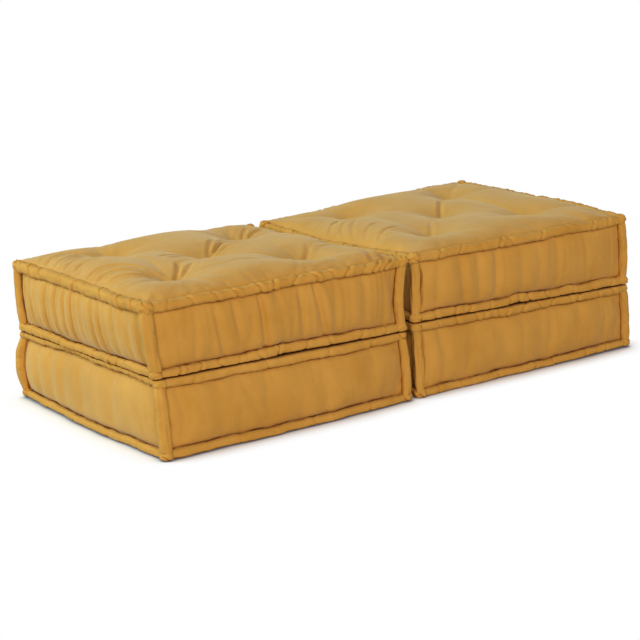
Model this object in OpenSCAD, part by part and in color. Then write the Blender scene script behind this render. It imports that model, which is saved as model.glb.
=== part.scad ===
// Modular floor sofa: two folding units side by side. Each unit is a base cushion with a
// second cushion sewn to its back top edge by a cloth band, so that the upper cushion swings
// up to be a backrest and right over to lie flat behind the base.
// Origin: middle of the footprint, on the floor. +X along the row, -Y the front, +Z up.

/* [Unit] */
// Width of one unit, over its corner knots
unit_w = 720; // [560:1:900]
// Depth of one unit, over its corner knots
unit_d = 700; // [560:1:900]
// Thickness of one cushion, over its rolled edges
cushion_h = 180; // [130:1:240]
// Air left between cushions that rest against each other
rest_gap = 0.3; // [0.2:0.1:1]

/* [Cover] */
// Diameter of a rolled edge
roll_d = 28; // [20:1:36]
// Cloth and wadding left at a seam
seam_t = 3; // [2:0.5:5]
// How far a seam lies inside the middle of its rolled edge
seam_inset = 3; // [1:0.5:5]
// Rise of a seat face above its rolled edges, between the tufts
seat_rise = 30; // [10:1:45]
// How far a face that another cushion lies on stays below its rolled edges
inner_sink = 1; // [0.5:0.5:5]
// How far a side wall stays inside its rolled edges where it bulges most
wall_sink = 3; // [0.5:0.5:6]
// Depth of the gathers sewn into an upper cushion's walls
upper_gather = 5; // [0:0.5:7]
// Depth of the gathers sewn into a base cushion's walls
base_gather = 2; // [0:0.5:7]
// Number of gathers along one wall
gathers = 7; // [4:1:9]

/* [Tufts] */
// Distance of the outer tufts from the middle, along X
tuft_x = 178; // [110:1:210]
// Distance of the outer tufts from the middle, along Y
tuft_y = 176; // [110:1:210]
// Depth of a tuft below a seat face's fullest height
tuft_depth = 36; // [15:1:44]
// Radius over which a tuft draws its face down
tuft_reach = 84; // [50:1:110]
// Depth of the folds that run through a seat face's tufts from corner to corner
fold_depth = 13; // [0:1:16]
// Half width of those folds
fold_reach = 30; // [15:1:60]
// Diameter of the tufting twine
twine_d = 3; // [2:0.5:4]
// Diameter of the knot at each end of a twine
twine_knot_d = 8; // [6:0.5:12]

/* [Hinge band] */
// Thickness of the doubled cloth band
band_t = 3; // [2:0.1:4]
// Length of rolled edge left bare between the band and each corner knot
band_end_gap = 6; // [3:1:20]

/* [Hidden] */
CUSHIONS = ["lower_left", "upper_left", "lower_right", "upper_right"];
PIECES = ["core", "top_panel", "bottom_panel", "front_wall", "right_wall", "back_wall",
    "left_wall", "top_rolls", "bottom_rolls", "corner_rolls", "tuft_ties", "hinge_band"];

fit = 0.1;                              // air that keeps a curved face off its neighbour
hole_air = 0.2;                         // air round a twine, in the cloth and the core
roll_r = roll_d / 2;
knot_r = sqrt(2) * roll_r + 0.4;        // just enough for three rolled edges to end on it
line_x = unit_w / 2 - knot_r;           // middle lines of the rolled edges
line_y = unit_d / 2 - knot_r;
low_line = roll_r;
high_line = cushion_h - roll_r;
seam_reach = (knot_r + fit) / sqrt(2);  // from a roll's middle line to the cloth sewn to it
pad_depth = seam_inset + seam_t;        // from a roll's middle line to the core
panel_x = line_x - seam_reach;          // half sizes of the top and bottom panels
panel_y = line_y - seam_reach;
wall_low = low_line + seam_reach;
wall_high = high_line - seam_reach;
core_x = line_x - pad_depth;
core_y = line_y - pad_depth;
core_low = low_line + pad_depth;
core_high = high_line - pad_depth;
seam_z = high_line - seam_inset;        // height of a top panel's seam
unit_x = unit_w / 2 + rest_gap / 2;     // half the distance from unit to unit
twine_seat = twine_knot_d / 2 + 1;      // a twine knot's middle above its dimple's floor
cloth_least = 1.2;                      // cloth left under the deepest tuft
crown_power = 7;                        // how squarely a face's crown ends at its seams
bulge_power = 2.4;                      // the same for a wall, from seam to seam
floor_bevel = 26;                       // slope of a base's underside from seam to floor
floor_dimple_r = 30;
floor_dimple_h = twine_knot_d + 1;
wall_rows = 4;
tufts = [[0, 0], [-tuft_x, -tuft_y], [tuft_x, -tuft_y], [-tuft_x, tuft_y], [tuft_x, tuft_y]];

cloth = "#c6964a";
roll_cloth = "#c08d40";
wadding = "#e9e1cf";
twine = "#b88a3e";

function is_upper(cushion) = cushion == "upper_left" || cushion == "upper_right";
function is_right(cushion) = cushion == "lower_right" || cushion == "upper_right";
// A number that makes each cushion's gathers its own
function seed(cushion) = search([cushion], CUSHIONS)[0] * 101;

module at_cushion(cushion) {
    side = is_right(cushion) ? unit_x : -unit_x;
    lift = is_upper(cushion) ? cushion_h + rest_gap : 0;
    translate([side, 0, lift]) children();
}

// Grid lines from seam to seam, which always pass through the tufts
function spread(from, to, steps) = [for (i = [0 : steps - 1]) from + (to - from) * i / steps];
function tuft_lines(half, tuft, steps) = concat(spread(-half, -tuft, steps),
    spread(-tuft, 0, steps), spread(0, tuft, steps), spread(tuft, half, steps), [half]);

// Form of a tufted face, as [rise above its seam, depth of a tuft, depth of the folds]
seat_form = [roll_r + seam_inset + seat_rise, tuft_depth, fold_depth];
inner_form = [roll_r + seam_inset - inner_sink, twine_knot_d + 2, fold_depth / 3];
// Fullness of a stuffed face: 0 at its seams and nearly 1 across its middle
function fullness(x, y) = (1 - pow(abs(x) / panel_x, crown_power)) * (1 - pow(abs(y) / panel_y, crown_power));
// Pull of the nearest tuft, and of the folds: 1 at the tuft or fold, fading over its reach
function tuft_pull(x, y) = max([for (t = tufts) exp(-pow(norm([x - t[0], y - t[1]]) / tuft_reach, 1.5))]);
function fold_pull(x, y) = exp(-abs(abs(x) * tuft_y - abs(y) * tuft_x) / norm([tuft_x, tuft_y]) / fold_reach);
function face_rise(x, y, form) =
    (form[0] - max(form[1] * tuft_pull(x, y), form[2] * fold_pull(x, y))) * fullness(x, y);
// Height of a top panel's outer side in its cushion; a bottom panel is its mirror image
function face_z(x, y, form) = seam_z + max(cloth_least - seam_t, face_rise(x, y, form));

// A closed sheet with a modelled outer side over a flat inner side. heights[i][j] is the
// outer side at us[i], vs[j].
module padded_sheet(us, vs, heights, inner) {
    n = len(us) - 1;
    m = len(vs) - 1;
    edge = concat([for (i = [0 : n - 1]) [i, 0]], [for (j = [0 : m - 1]) [n, j]],
        [for (i = [n : -1 : 1]) [i, m]], [for (j = [m : -1 : 1]) [0, j]]);
    rim = len(edge);
    first = (n + 1) * (m + 1);
    function at(i, j) = i * (m + 1) + j;
    function top(k) = at(edge[k % rim][0], edge[k % rim][1]);
    function low(k) = first + k % rim;
    points = concat([for (i = [0 : n]) for (j = [0 : m]) [us[i], vs[j], heights[i][j]]],
        [for (e = edge) [us[e[0]], vs[e[1]], inner]],
        [[(us[0] + us[n]) / 2, (vs[0] + vs[m]) / 2, inner]]);
    outer_side = [for (i = [0 : n - 1]) for (j = [0 : m - 1]) for (half = [0, 1])
        half == 0 ? [at(i, j), at(i, j + 1), at(i + 1, j + 1)] : [at(i, j), at(i + 1, j + 1), at(i + 1, j)]];
    rim_side = [for (k = [0 : rim - 1]) for (half = [0, 1])
        half == 0 ? [top(k), top(k + 1), low(k + 1)] : [top(k), low(k + 1), low(k)]];
    inner_side = [for (k = [0 : rim - 1]) [first + rim, low(k), low(k + 1)]];
    polyhedron(points, concat(outer_side, rim_side, inner_side), convexity = 6);
}

// Straight holes down through a cushion at the tufts
module twine_holes() {
    for (t = tufts)
        translate([t[0], t[1], -cushion_h])
            cylinder(d = twine_d + 2 * hole_air, h = 3 * cushion_h, $fn = 48);
}

// Crowned and tufted cloth over its wadding
module tufted_panel(form, steps) {
    xs = tuft_lines(panel_x, tuft_x, steps);
    ys = tuft_lines(panel_y, tuft_y, steps);
    difference() {
        padded_sheet(xs, ys, [for (x = xs) [for (y = ys) face_z(x, y, form)]], core_high);
        twine_holes();
    }
}

module top_panel(cushion) {
    color(cloth) if (is_upper(cushion)) tufted_panel(seat_form, 5); else tufted_panel(inner_form, 3);
}

// The face that a base cushion stands on: pressed flat, with a dimple at each tuft
module floor_panel() {
    module slope(half, length)
        rotate([90, 0, 0]) linear_extrude(length, center = true)
            polygon([[-half, core_low], [-half, core_low - seam_t], [floor_bevel - half, 0],
                [half - floor_bevel, 0], [half, core_low - seam_t], [half, core_low]]);
    difference() {
        intersection() {
            slope(panel_x, 2 * panel_y);
            rotate([0, 0, 90]) slope(panel_y, 2 * panel_x);
        }
        for (t = tufts)
            translate([t[0], t[1], -fit])
                cylinder(r1 = floor_dimple_r, r2 = twine_d, h = floor_dimple_h + fit, $fn = 48);
        twine_holes();
    }
}

module bottom_panel(cushion) {
    color(cloth) if (is_upper(cushion))
        translate([0, 0, cushion_h]) mirror([0, 0, 1]) tufted_panel(inner_form, 2);
    else
        floor_panel();
}

// Gathered side wall, drawn in at its seams and bulging between them. turn counts quarter
// turns from the front.
module side_wall(cushion, turn) {
    half = turn % 2 == 0 ? panel_x : panel_y;
    seam_line = (turn % 2 == 0 ? line_y : line_x) - seam_inset;
    bulge = roll_r + seam_inset - wall_sink;
    rise = (wall_high - wall_low) / 2;
    columns = is_upper(cushion) ? 9 : 7;
    us = concat(spread(-half, 0, columns), spread(0, half, columns), [half]);
    vs = concat(spread(-rise, rise, wall_rows), [rise]);
    depth = is_upper(cushion) ? upper_gather : base_gather;
    phase = seed(cushion) + 67 * turn;
    function gather(u) = depth * (0.6 + 0.4 * sin(9.7 * u + phase))
        * pow(cos(90 * gathers * u / half + phase), 4);
    function wall_rise(u, v) = (bulge - gather(u))
        * (1 - pow(abs(v) / rise, bulge_power)) * (1 - pow(abs(u) / half, crown_power));
    color(cloth) rotate([0, 0, 90 * turn]) translate([0, 0, cushion_h / 2]) rotate([90, 0, 0])
        padded_sheet(us, vs, [for (u = us) [for (v = vs) seam_line + wall_rise(u, v)]], seam_line - seam_t);
}

// Block of stuffing, its edges cut back round the rolled edges and the knots
module core() {
    room = max(sqrt(2) * (roll_r + hole_air), 2 / sqrt(3) * (knot_r + hole_air));
    bevel = max(1, room - 2 * pad_depth);
    core_z = cushion_h / 2 - core_low;
    module bevelled(half_u, half_v, length)
        linear_extrude(length, center = true)
            polygon([[-half_u, bevel - half_v], [bevel - half_u, -half_v], [half_u - bevel, -half_v],
                [half_u, bevel - half_v], [half_u, half_v - bevel], [half_u - bevel, half_v],
                [bevel - half_u, half_v], [-half_u, half_v - bevel]]);
    color(wadding) difference() {
        translate([0, 0, cushion_h / 2]) intersection() {
            bevelled(core_x, core_y, 2 * core_z);
            rotate([90, 0, 0]) bevelled(core_x, core_z, 2 * core_y);
            rotate([90, 0, 90]) bevelled(core_y, core_z, 2 * core_x);
        }
        twine_holes();
    }
}

// Gathered knot where three rolled edges meet, pressed flat above and below
module knot() {
    intersection() {
        sphere(r = knot_r, $fn = 32);
        cube([4 * knot_r, 4 * knot_r, roll_d], center = true);
    }
}

// One straight rolled edge, its ends hollowed to seat on two knots
module straight_roll(half) {
    rotate([0, 90, 0]) difference() {
        cylinder(r = roll_r, h = 2 * half, center = true, $fn = 64);
        for (end = [-half, half])
            translate([0, 0, end]) sphere(r = knot_r + fit, $fn = 32);
    }
}

// The rolled edges round one face, with the knots at their corners
module roll_frame(height) {
    color(roll_cloth) translate([0, 0, height]) for (side = [-1, 1]) {
        translate([0, side * line_y, 0]) straight_roll(line_x);
        translate([side * line_x, 0, 0]) rotate([0, 0, 90]) straight_roll(line_y);
        for (end = [-1, 1]) translate([side * line_x, end * line_y, 0]) knot();
    }
}

// The upright rolled edges, which stand between the flats of the knots
module corner_rolls() {
    color(roll_cloth) for (x = [-line_x, line_x]) for (y = [-line_y, line_y])
        translate([x, y, roll_d]) cylinder(r = roll_r, h = cushion_h - 2 * roll_d, $fn = 64);
}

// Twine drawn down through the cushion at each tuft, with a knot in each dimple
module tuft_ties(cushion) {
    color(twine) for (t = tufts) {
        high = face_z(t[0], t[1], is_upper(cushion) ? seat_form : inner_form) + twine_seat;
        low = is_upper(cushion) ? cushion_h - face_z(t[0], t[1], inner_form) - twine_seat
            : floor_dimple_h - twine_knot_d / 2;
        translate([t[0], t[1], low]) cylinder(d = twine_d, h = high - low, $fn = 32);
        for (z = [low, high]) translate([t[0], t[1], z]) sphere(d = twine_knot_d, $fn = 32);
    }
}

// Half of the cloth band behind the fold. It is sewn along the middle of a rolled edge and
// leans out to the fold line, level with the knots.
module hinge_band(cushion) {
    length = 2 * (line_x - knot_r - band_end_gap);
    sewn = line_y + roll_r + fit;
    fold = line_y + knot_r - band_t;
    module half_band()
        rotate([90, 0, 90]) linear_extrude(length, center = true)
            polygon([[fold, 0], [fold + band_t, 0], [sewn + band_t, roll_r],
                [sewn + band_t, roll_d], [sewn, roll_d], [sewn, roll_r]]);
    color(roll_cloth) if (is_upper(cushion))
        half_band();
    else
        translate([0, 0, cushion_h]) mirror([0, 0, 1]) half_band();
}

for (c = CUSHIONS) {
    at_cushion(c) core();
    at_cushion(c) top_panel(c);
    at_cushion(c) bottom_panel(c);
    at_cushion(c) side_wall(c, 0);
    at_cushion(c) side_wall(c, 1);
    at_cushion(c) side_wall(c, 2);
    at_cushion(c) side_wall(c, 3);
    at_cushion(c) roll_frame(high_line);
    at_cushion(c) roll_frame(low_line);
    at_cushion(c) corner_rolls();
    at_cushion(c) tuft_ties(c);
    at_cushion(c) hinge_band(c);
}
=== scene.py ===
"""Soft covers, rolled edges, stitches and hinge strips for a tufted floor sofa of two folding units."""
import math
import bpy
import numpy as np
from mathutils import Matrix
from mathutils import Vector
from mathutils import noise


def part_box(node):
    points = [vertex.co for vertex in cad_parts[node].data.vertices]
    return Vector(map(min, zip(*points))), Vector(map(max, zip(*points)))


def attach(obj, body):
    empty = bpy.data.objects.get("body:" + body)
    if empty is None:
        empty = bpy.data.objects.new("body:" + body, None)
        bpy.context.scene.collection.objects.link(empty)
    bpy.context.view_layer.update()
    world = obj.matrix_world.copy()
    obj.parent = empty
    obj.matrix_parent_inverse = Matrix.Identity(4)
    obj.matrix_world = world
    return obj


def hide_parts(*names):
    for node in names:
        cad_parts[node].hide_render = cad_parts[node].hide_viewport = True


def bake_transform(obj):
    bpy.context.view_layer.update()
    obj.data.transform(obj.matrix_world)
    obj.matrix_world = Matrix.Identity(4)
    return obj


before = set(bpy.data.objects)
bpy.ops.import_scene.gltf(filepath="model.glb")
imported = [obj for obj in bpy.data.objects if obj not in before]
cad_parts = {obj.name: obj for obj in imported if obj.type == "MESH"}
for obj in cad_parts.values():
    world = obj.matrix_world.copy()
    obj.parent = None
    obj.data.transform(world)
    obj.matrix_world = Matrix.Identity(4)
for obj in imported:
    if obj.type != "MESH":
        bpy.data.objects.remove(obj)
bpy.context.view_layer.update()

bl_info = {
    "name": "Tufted floor sofa",
    "version": (1, 0, 0),
    "blender": (4, 5, 0),
    "location": "View3D > Sidebar > Floor sofa",
    "description": "Sews the cotton covers, rolled edges and hinge strips of a folding floor sofa",
    "category": "Object",
}

MM = 0.001


def box_mm(node):
    """Lowest and highest corner of a node of the frame, in millimetres to the hundredth."""
    return [[round(value / MM, 2) for value in corner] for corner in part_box(node)]


LOWER_BLOCK = box_mm("lower_right_core")
UPPER_BLOCK = box_mm("upper_right_core")
ROLLS_BELOW = box_mm("lower_right_bottom_rolls")
ROLLS_ABOVE = box_mm("lower_right_top_rolls")

# Millimetres from the middle of the sofa to the middle of a unit, and the heights of its cushions
UNIT_X = round((LOWER_BLOCK[0][0] + LOWER_BLOCK[1][0]) / 2, 2)
LOWER_Z = round((LOWER_BLOCK[0][2] + LOWER_BLOCK[1][2]) / 2, 2)
UPPER_Z = round((UPPER_BLOCK[0][2] + UPPER_BLOCK[1][2]) / 2, 2)

# Millimetres from the middle of a cushion to the centre lines of its rolled edges, which lie
# ROLL_OUT out from its block of wadding, and to the faces that it rests on
ROLL_OUT = 6.0
LINE_X = round(LOWER_BLOCK[1][0] - UNIT_X + ROLL_OUT, 1)
LINE_Y = round(LOWER_BLOCK[1][1] + ROLL_OUT, 1)
HALF_H = round((ROLLS_ABOVE[1][2] - ROLLS_BELOW[0][2]) / 2, 1)
LINE_Z = round(HALF_H - (ROLLS_BELOW[1][2] - ROLLS_BELOW[0][2]) / 2, 1)

# Millimetres from the middle of a cushion to the pits of its tufts
TUFT_Z = 79.0

# How much further out a roll lies that the cushion rests on
REST_SHIFT = 4.5

# A cover's seam lies in from its roll and, on a seat, above it; the next row is tucked behind the roll
SEAM_IN = 8.0
SEAM_UP = 9.0
TUCK = 7.0

# How far in from an upright the cloth is sewn and then tucked, and how deep it is tucked at each
UPRIGHT_SEAM = 3
UPRIGHT_IN = 12
UPRIGHT_TUCK = (9, 6, 6, 6)

# How a rolled edge wavers outwards and upwards: length and height of a wave, and shift of its seed
OUT_WAVES = ((120, 3.0, 0), (46, 1.6, 60))
UP_WAVES = ((150, 2.6, 20), (44, 1.5, 80))

# How far a cover may swell past its rolls, and how far a cushion stays off its neighbour and the floor
SWELL_LIMIT = 24.0
UNIT_GAP = 0.15
FLOOR_GAP = 0.3

# Half the height over which the folds of a wall run
FOLD_Z = 62

# Places along a fold that the cloth starts from, and along a crease that is pressed into it
FOLD_PLACES = 25
CREASE_PLACES = 33

# How squarely a seat ends at its seams, as a power
SHOULDER = 7

# Height over which a wall is drawn in under a roll, and how far out it may be at the foot of that
UNDER_ROLL = 16
UNDER_OUT = 24

# Squares of cloth along the three sides of a cover
GRID = (84, 82, 24)

# Frames in which a cover is sewn to its rolls, and in which it is sewn and filled
SEWN_FRAME = 8
SIM_FRAMES = 16

# How far a rolled edge stops short of its corner, and how far from its ends a roll begins to thin
ROLL_SHORT = 11
ROLL_TAPER = 26

# Distance between the rings of points along a roll and along an upright, and points in a ring
ROLL_STEP = 2.1
ROLL_SIDES = 26
UPRIGHT_STEP = 2.6
UPRIGHT_SIDES = 32

# Rings and points in a ring of a knot, and its fullness at the near left corner
KNOT_RINGS = 22
KNOT_SIDES = 34
NEAR_KNOT = 1.02
FULL_KNOTS = {("upper_left", 1): 1.14}

# How square the section of a rolled edge is: 2 is round
ROLL_SQUARE = 2.7

# A loop of tufting twine: its radius and the radius of the twine
LOOP_RADIUS = 4.2
TWINE_RADIUS = 0.9

# The hinge strip: half its length, its columns of points, its thickness, and the depth and height
# of its rows of points
STRIP_HALF = 313
STRIP_COLUMNS = 126
STRIP_THICKNESS = 1.6
STRIP_ROWS = ((344.6, 160), (346.4, 166), (348.0, 171), (348.8, 176), (348.0, 181), (346.4, 186),
              (344.6, 192))

# The floor: its size, and how far it lies under the sofa, in metres
FLOOR_SIZE = 60
FLOOR_DOWN = 0.0004

# Soft boxes: where each stands from the sofa in metres, the degrees that it spans, strength and tint
LAMPS = (
    ("Key light", (-4.4, 3.0, 3.5), 36, 2.62, (0.87, 1.0, 0.94)),
    ("Front light", (-6.0, -12.0, 4.0), 40, 2.92, (1.0, 0.81, 0.67)),
)
AMBIENT = 0.2

# The camera: place in metres, turns in degrees, and lens and sensor in millimetres
CAMERA_PLACE = (-2.7332, -3.9634, 1.3024)
CAMERA_AZIMUTH = -34.27
CAMERA_ELEVATION = 13.61
CAMERA_ROLL = -2.53
CAMERA_LENS = 109.6
CAMERA_SENSOR = 36

# Sizes of the patterns in the cotton and twine, in millimetres: patches of dye, slubs, low puckers,
# the dashes that the painted shade of a seam breaks into, and the twine's lay, which is drawn coarser
# than it is
DYE_PATCH = 111.1
SLUB = 2.38
SOFT_PUCKER = 16.67
PAINTED_SHADE_DASH = 31.25
TWINE_LAY = 1.43

# How far cloth has to be from cloth to lose the painted shade of a seam and of a gap, and how far the
# floor has to be from the sofa to lose its painted contact shadow and its whole shadow, in metres
SEAM_REACH = 0.016
GAP_REACH = 0.09
CONTACT_REACH = 0.032
SHADOW_REACH = 0.085

# Linear colours of the floor's painted contact shadow, and of the light that the floor throws back
PAINTED_CONTACT_SHADE = (0.30, 0.32, 0.37, 1)
BOUNCE_GREY = (0.36, 0.35, 0.34, 1)

# How strongly the painted shade of a crease darkens each part of the cotton's colour: it stands in for
# light that is left in a crease, which has struck the cloth many times, so the painted shade is browner
# than the open cloth
PAINTED_CREASE_WARMTH = (("Red", 0.62), ("Green", 1.0), ("Blue", 1.7))

EDGES = ("front", "back", "left", "right")
EVEN_TUFTS = ((0, 0, 0), (-178, -176, 0), (178, -176, 0), (-178, 176, 0), (178, 176, 0))

# Each cushion, in millimetres:
# x, z and seed: its place, and the start of its random draws
# cut, tall, ripple, stiff, calm and pressed: how much wider and taller its cover is cut than its
# rolls, how uneven the cloth is, how stiff, the share of the small folds that settles out of its
# walls, and the share of a wall's folds that is pressed into the finished cloth
# corners: how far each corner lies off the square block: near left, near right, far left and far
# right, first round the bottom, then round the top
# bows, upright and band: how far its uprights bow out, their radii, and the fullness of its rolls
# swell, shoulder and seam_up: how far each wall swells, how squarely the seat ends at the back where
# it isn't SHOULDER, and the height of a seam where it isn't SEAM_UP
# tufts: place and extra depth of each
CUSHIONS = {
    "lower_left": {
        "x": -UNIT_X, "z": LOWER_Z, "seed": 11,
        "cut": 1.018, "tall": 1.060, "ripple": 1.4, "stiff": 0.5, "calm": 0.45, "pressed": 0.6,
        "corners": ((-1, -27, 0), (-5, -13, 0), (5, 6, 3), (0, 0, 0),
                    (5, 0, 0), (-5, 0, -10), (7, 0, -9), (0, 0, -4)),
        "bows": (4, 5, 15, 5), "upright": (15, 12.5, 13, 12.5), "band": 0.98,
        "swell": {"left": 26, "right": 0, "front": 18, "back": 7},
        "tufts": EVEN_TUFTS,
    },
    "upper_left": {
        "x": -UNIT_X, "z": UPPER_Z, "seed": 23,
        "cut": 1.050, "tall": 1.070, "ripple": 2.0, "stiff": 0.2, "calm": 0.3, "pressed": 0.34,
        "corners": ((0, 0, 0), (-5, 0, -10), (7, 0, -9), (0, 0, -4),
                    (-16, 6, -5), (2, -6, -6), (1, 0, -9), (0, 0, -16)),
        "bows": (4, -6, 3, 4), "upright": (16.5, 13, 12.5, 12.5), "band": 1.0,
        "swell": {"left": 27, "right": 0, "front": 23, "back": 7}, "seam_up": {"left": 13.0},
        "tufts": ((8, -2, 0), (-180, -170, 0), (160, -188, 6), (-158, 178, 0), (194, 150, 0)),
    },
    "lower_right": {
        "x": UNIT_X, "z": LOWER_Z, "seed": 37,
        "cut": 1.015, "tall": 1.060, "ripple": 1.4, "stiff": 0.5, "calm": 0.45, "pressed": 0.6,
        "corners": ((0, -8, -4), (4, 0, 2), (0, 0, 0), (0, 0, 0),
                    (-1, 0, 4), (-3, 0, -12), (0, 0, -2), (0, 0, -4)),
        "bows": (-7, 3, 4, 5), "upright": (12.5, 12.5, 12.5, 12.5), "band": 0.98,
        "swell": {"left": 0, "right": 18, "front": 18, "back": 7},
        "tufts": EVEN_TUFTS,
    },
    "upper_right": {
        "x": UNIT_X, "z": UPPER_Z, "seed": 41,
        "cut": 1.025, "tall": 1.060, "ripple": 1.0, "stiff": 0.35, "calm": 0.45, "pressed": 0.6,
        "corners": ((-1, 0, 4), (-3, 0, -12), (0, 0, -2), (0, 0, -4),
                    (0, 0, -6), (-8, 0, -6), (6, 0, -15), (0, 0, 6)),
        "bows": (-12, 4, 4, 5), "upright": (12.5, 12, 12.5, 12.5), "band": 1.0,
        "swell": {"left": 0, "right": 20, "front": 22, "back": 7}, "shoulder": 4.6,
        "tufts": ((0, 0, 0), (-172, -178, 0), (150, -172, 0), (-166, 180, 0), (166, 172, 0)),
    },
}

# Folds that the cloth of a wall starts from: places along the wall at the head, middle and foot of
# the valley, then its depth and half width, all in millimetres
WALL_FOLDS = {
    ("upper_left", "left"): [
        (306, 278, 266, 7, 10), (262, 250, 234, 7, 9), (214, 208, 202, 4, 9),
        (160, 167, 164, 8, 9), (108, 111, 108, 8, 9), (60, 64, 66, 6, 8), (26, 24, 26, 10, 9),
        (-26, -30, -36, 4, 9), (-74, -80, -90, 8, 10), (-108, -120, -134, 7, 9),
        (-178, -188, -190, 7, 11), (-224, -250, -249, 6, 14)],
    ("upper_left", "front"): [
        (-226, -237, -235, 5, 13), (-176, -174, -157, 7, 11), (-127, -122, -102, 6, 10),
        (-57, -55, -51, 11, 9), (-10, -5, -3, 5, 11), (49, 50, 56, 6, 11), (90, 102, 119, 10, 9),
        (145, 143, 140, 5, 11), (226, 225, 221, 6, 14), (303, 314, 322, 5, 12)],
    ("upper_right", "front"): [
        (-265, -275, -269, 5, 15), (-202, -200, -186, 6, 14), (-144, -149, -141, 6, 14),
        (-86, -90, -89, 7, 14), (-7, -11, -10, 6, 16), (113, 103, 112, 5, 16),
        (214, 208, 212, 4, 18)],
    ("lower_left", "left"): [
        (244, 238, 226, 6, 15), (180, 172, 164, 6, 16), (112, 106, 98, 5, 16), (20, 14, 10, 5, 20),
        (-120, -128, -130, 5, 24)],
    ("lower_left", "front"): [
        (-300, -292, -300, 5, 14), (-196, -200, -190, 5, 20), (-60, -66, -58, 4, 24),
        (96, 92, 100, 5, 20), (236, 232, 240, 4, 20)],
    ("lower_right", "front"): [
        (-270, -262, -270, 5, 14), (-80, -76, -84, 5, 22), (40, 44, 36, 4, 20),
        (180, 176, 186, 5, 22)],
}

# Folds that the cloth of a seat starts from: three places of the valley, then its depth and half width
SEAT_FOLDS = {
    "upper_left": [
        ((-332, 120), (-280, 214), (-196, 196), 6, 11),
        ((-332, 64), (-272, 170), (-190, 170), 6, 11),
        ((-332, 12), (-268, 104), (-196, 130), 6, 11),
        ((-332, -44), (-272, 40), (-204, 60), 6, 11),
        ((-332, -104), (-268, -46), (-190, -160), 7, 11), ((-6, 6), (60, 96), (120, 150), 8, 8),
        ((8, 4), (76, 60), (150, 158), 8, 8), ((10, 0), (90, 34), (164, 96), 8, 8),
        ((-172, -168), (-128, -100), (-84, -60), 8, 8),
        ((-168, -172), (-100, -128), (-56, -96), 7, 8), ((182, 184), (220, 236), (262, 276), 7, 8),
        ((186, 180), (240, 214), (300, 250), 7, 8), ((318, -330), (290, -250), (268, -210), 5, 9),
        ((330, -318), (308, -240), (290, -196), 5, 9)],
    "upper_right": [
        ((-332, -60), (-270, 20), (-196, 90), 5, 10),
        ((-332, 20), (-270, 110), (-200, 150), 5, 10),
        ((-332, -140), (-270, -80), (-196, -150), 6, 10), ((8, 8), (60, 70), (110, 130), 7, 8),
        ((186, 184), (230, 220), (270, 260), 6, 8), ((-168, -168), (-130, -110), (-90, -60), 6, 8)],
}

# Stitched pinches along the rolled edges that the photograph shows: place, depth, half width and
# how far the pinch slants across the roll, in millimetres
PINCHES = {
    ("upper_left", "left", 1): [
        (292, 2, 5, 6), (243, 6, 4, 8), (187, 5, 4, 6), (137, 1.5, 6, 8), (76, 2, 5, 8),
        (45, 1.5, 6, 6), (-2, 5, 4, -6), (-48, 2, 5, 8), (-97, 1.5, 6, 10), (-134, 6, 4, 8),
        (-195, 2, 5, 8), (-223, 5, 4, 8), (-254, 2, 4, 10), (-289, 5, 4, 6)],
    ("upper_left", "front", 1): [
        (-286, 2, 5, 6), (-230, 3, 5, -6), (-168, 3, 5, -6), (-117, 5, 4, -8), (-54, 5, 4, -4),
        (-14, 4, 4, 4), (44, 4, 5, 10), (92, 6, 4, -8), (139, 3, 4, -6), (186, 4, 5, 10),
        (232, 2, 5, 8), (264, 5, 4, 12), (299, 6, 3.5, 15)],
    ("upper_left", "front", -1): [
        (-285, 5, 4, 8), (-231, 4, 4, 8), (-172, 3, 5, -6), (-127, 1.5, 5, 4), (-69, 3, 5, -6),
        (-21, 3, 4, 5), (60, 2, 5, 6), (130, 3, 4, -6), (215, 3, 5, 8), (286, 2, 4, 5)],
    ("lower_left", "front", 1): [
        (-250, 2, 5, 6), (-60, 1.6, 5, -6), (120, 2, 6, 5), (250, 2.6, 5, 8)],
    ("lower_left", "front", -1): [
        (-150, 1.5, 6, 4), (60, 1.5, 6, -5), (220, 2, 5, 6)],
    ("lower_left", "left", -1): [
        (200, 2, 5, 5), (60, 2, 5, -6), (-100, 2.5, 5, 6), (-220, 2, 5, 5)],
    ("lower_right", "front", -1): [
        (-290, 2, 5, 6), (-205, 2.4, 5, -7), (-96, 2, 6, 4), (20, 2.6, 5, 8), (88, 3, 4, -6),
        (190, 2, 5, 6), (262, 3, 4, 7)],
    ("upper_right", "front", 1): [
        (-262, 2.5, 5, 6), (-196, 3, 4, 8), (-134, 1.6, 6, -5), (-70, 4, 4, 9), (-40, 3, 5, -6),
        (64, 3, 4, 7), (150, 2, 6, -6), (236, 3.4, 4, 8), (290, 3, 4, 6)],
}

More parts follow.
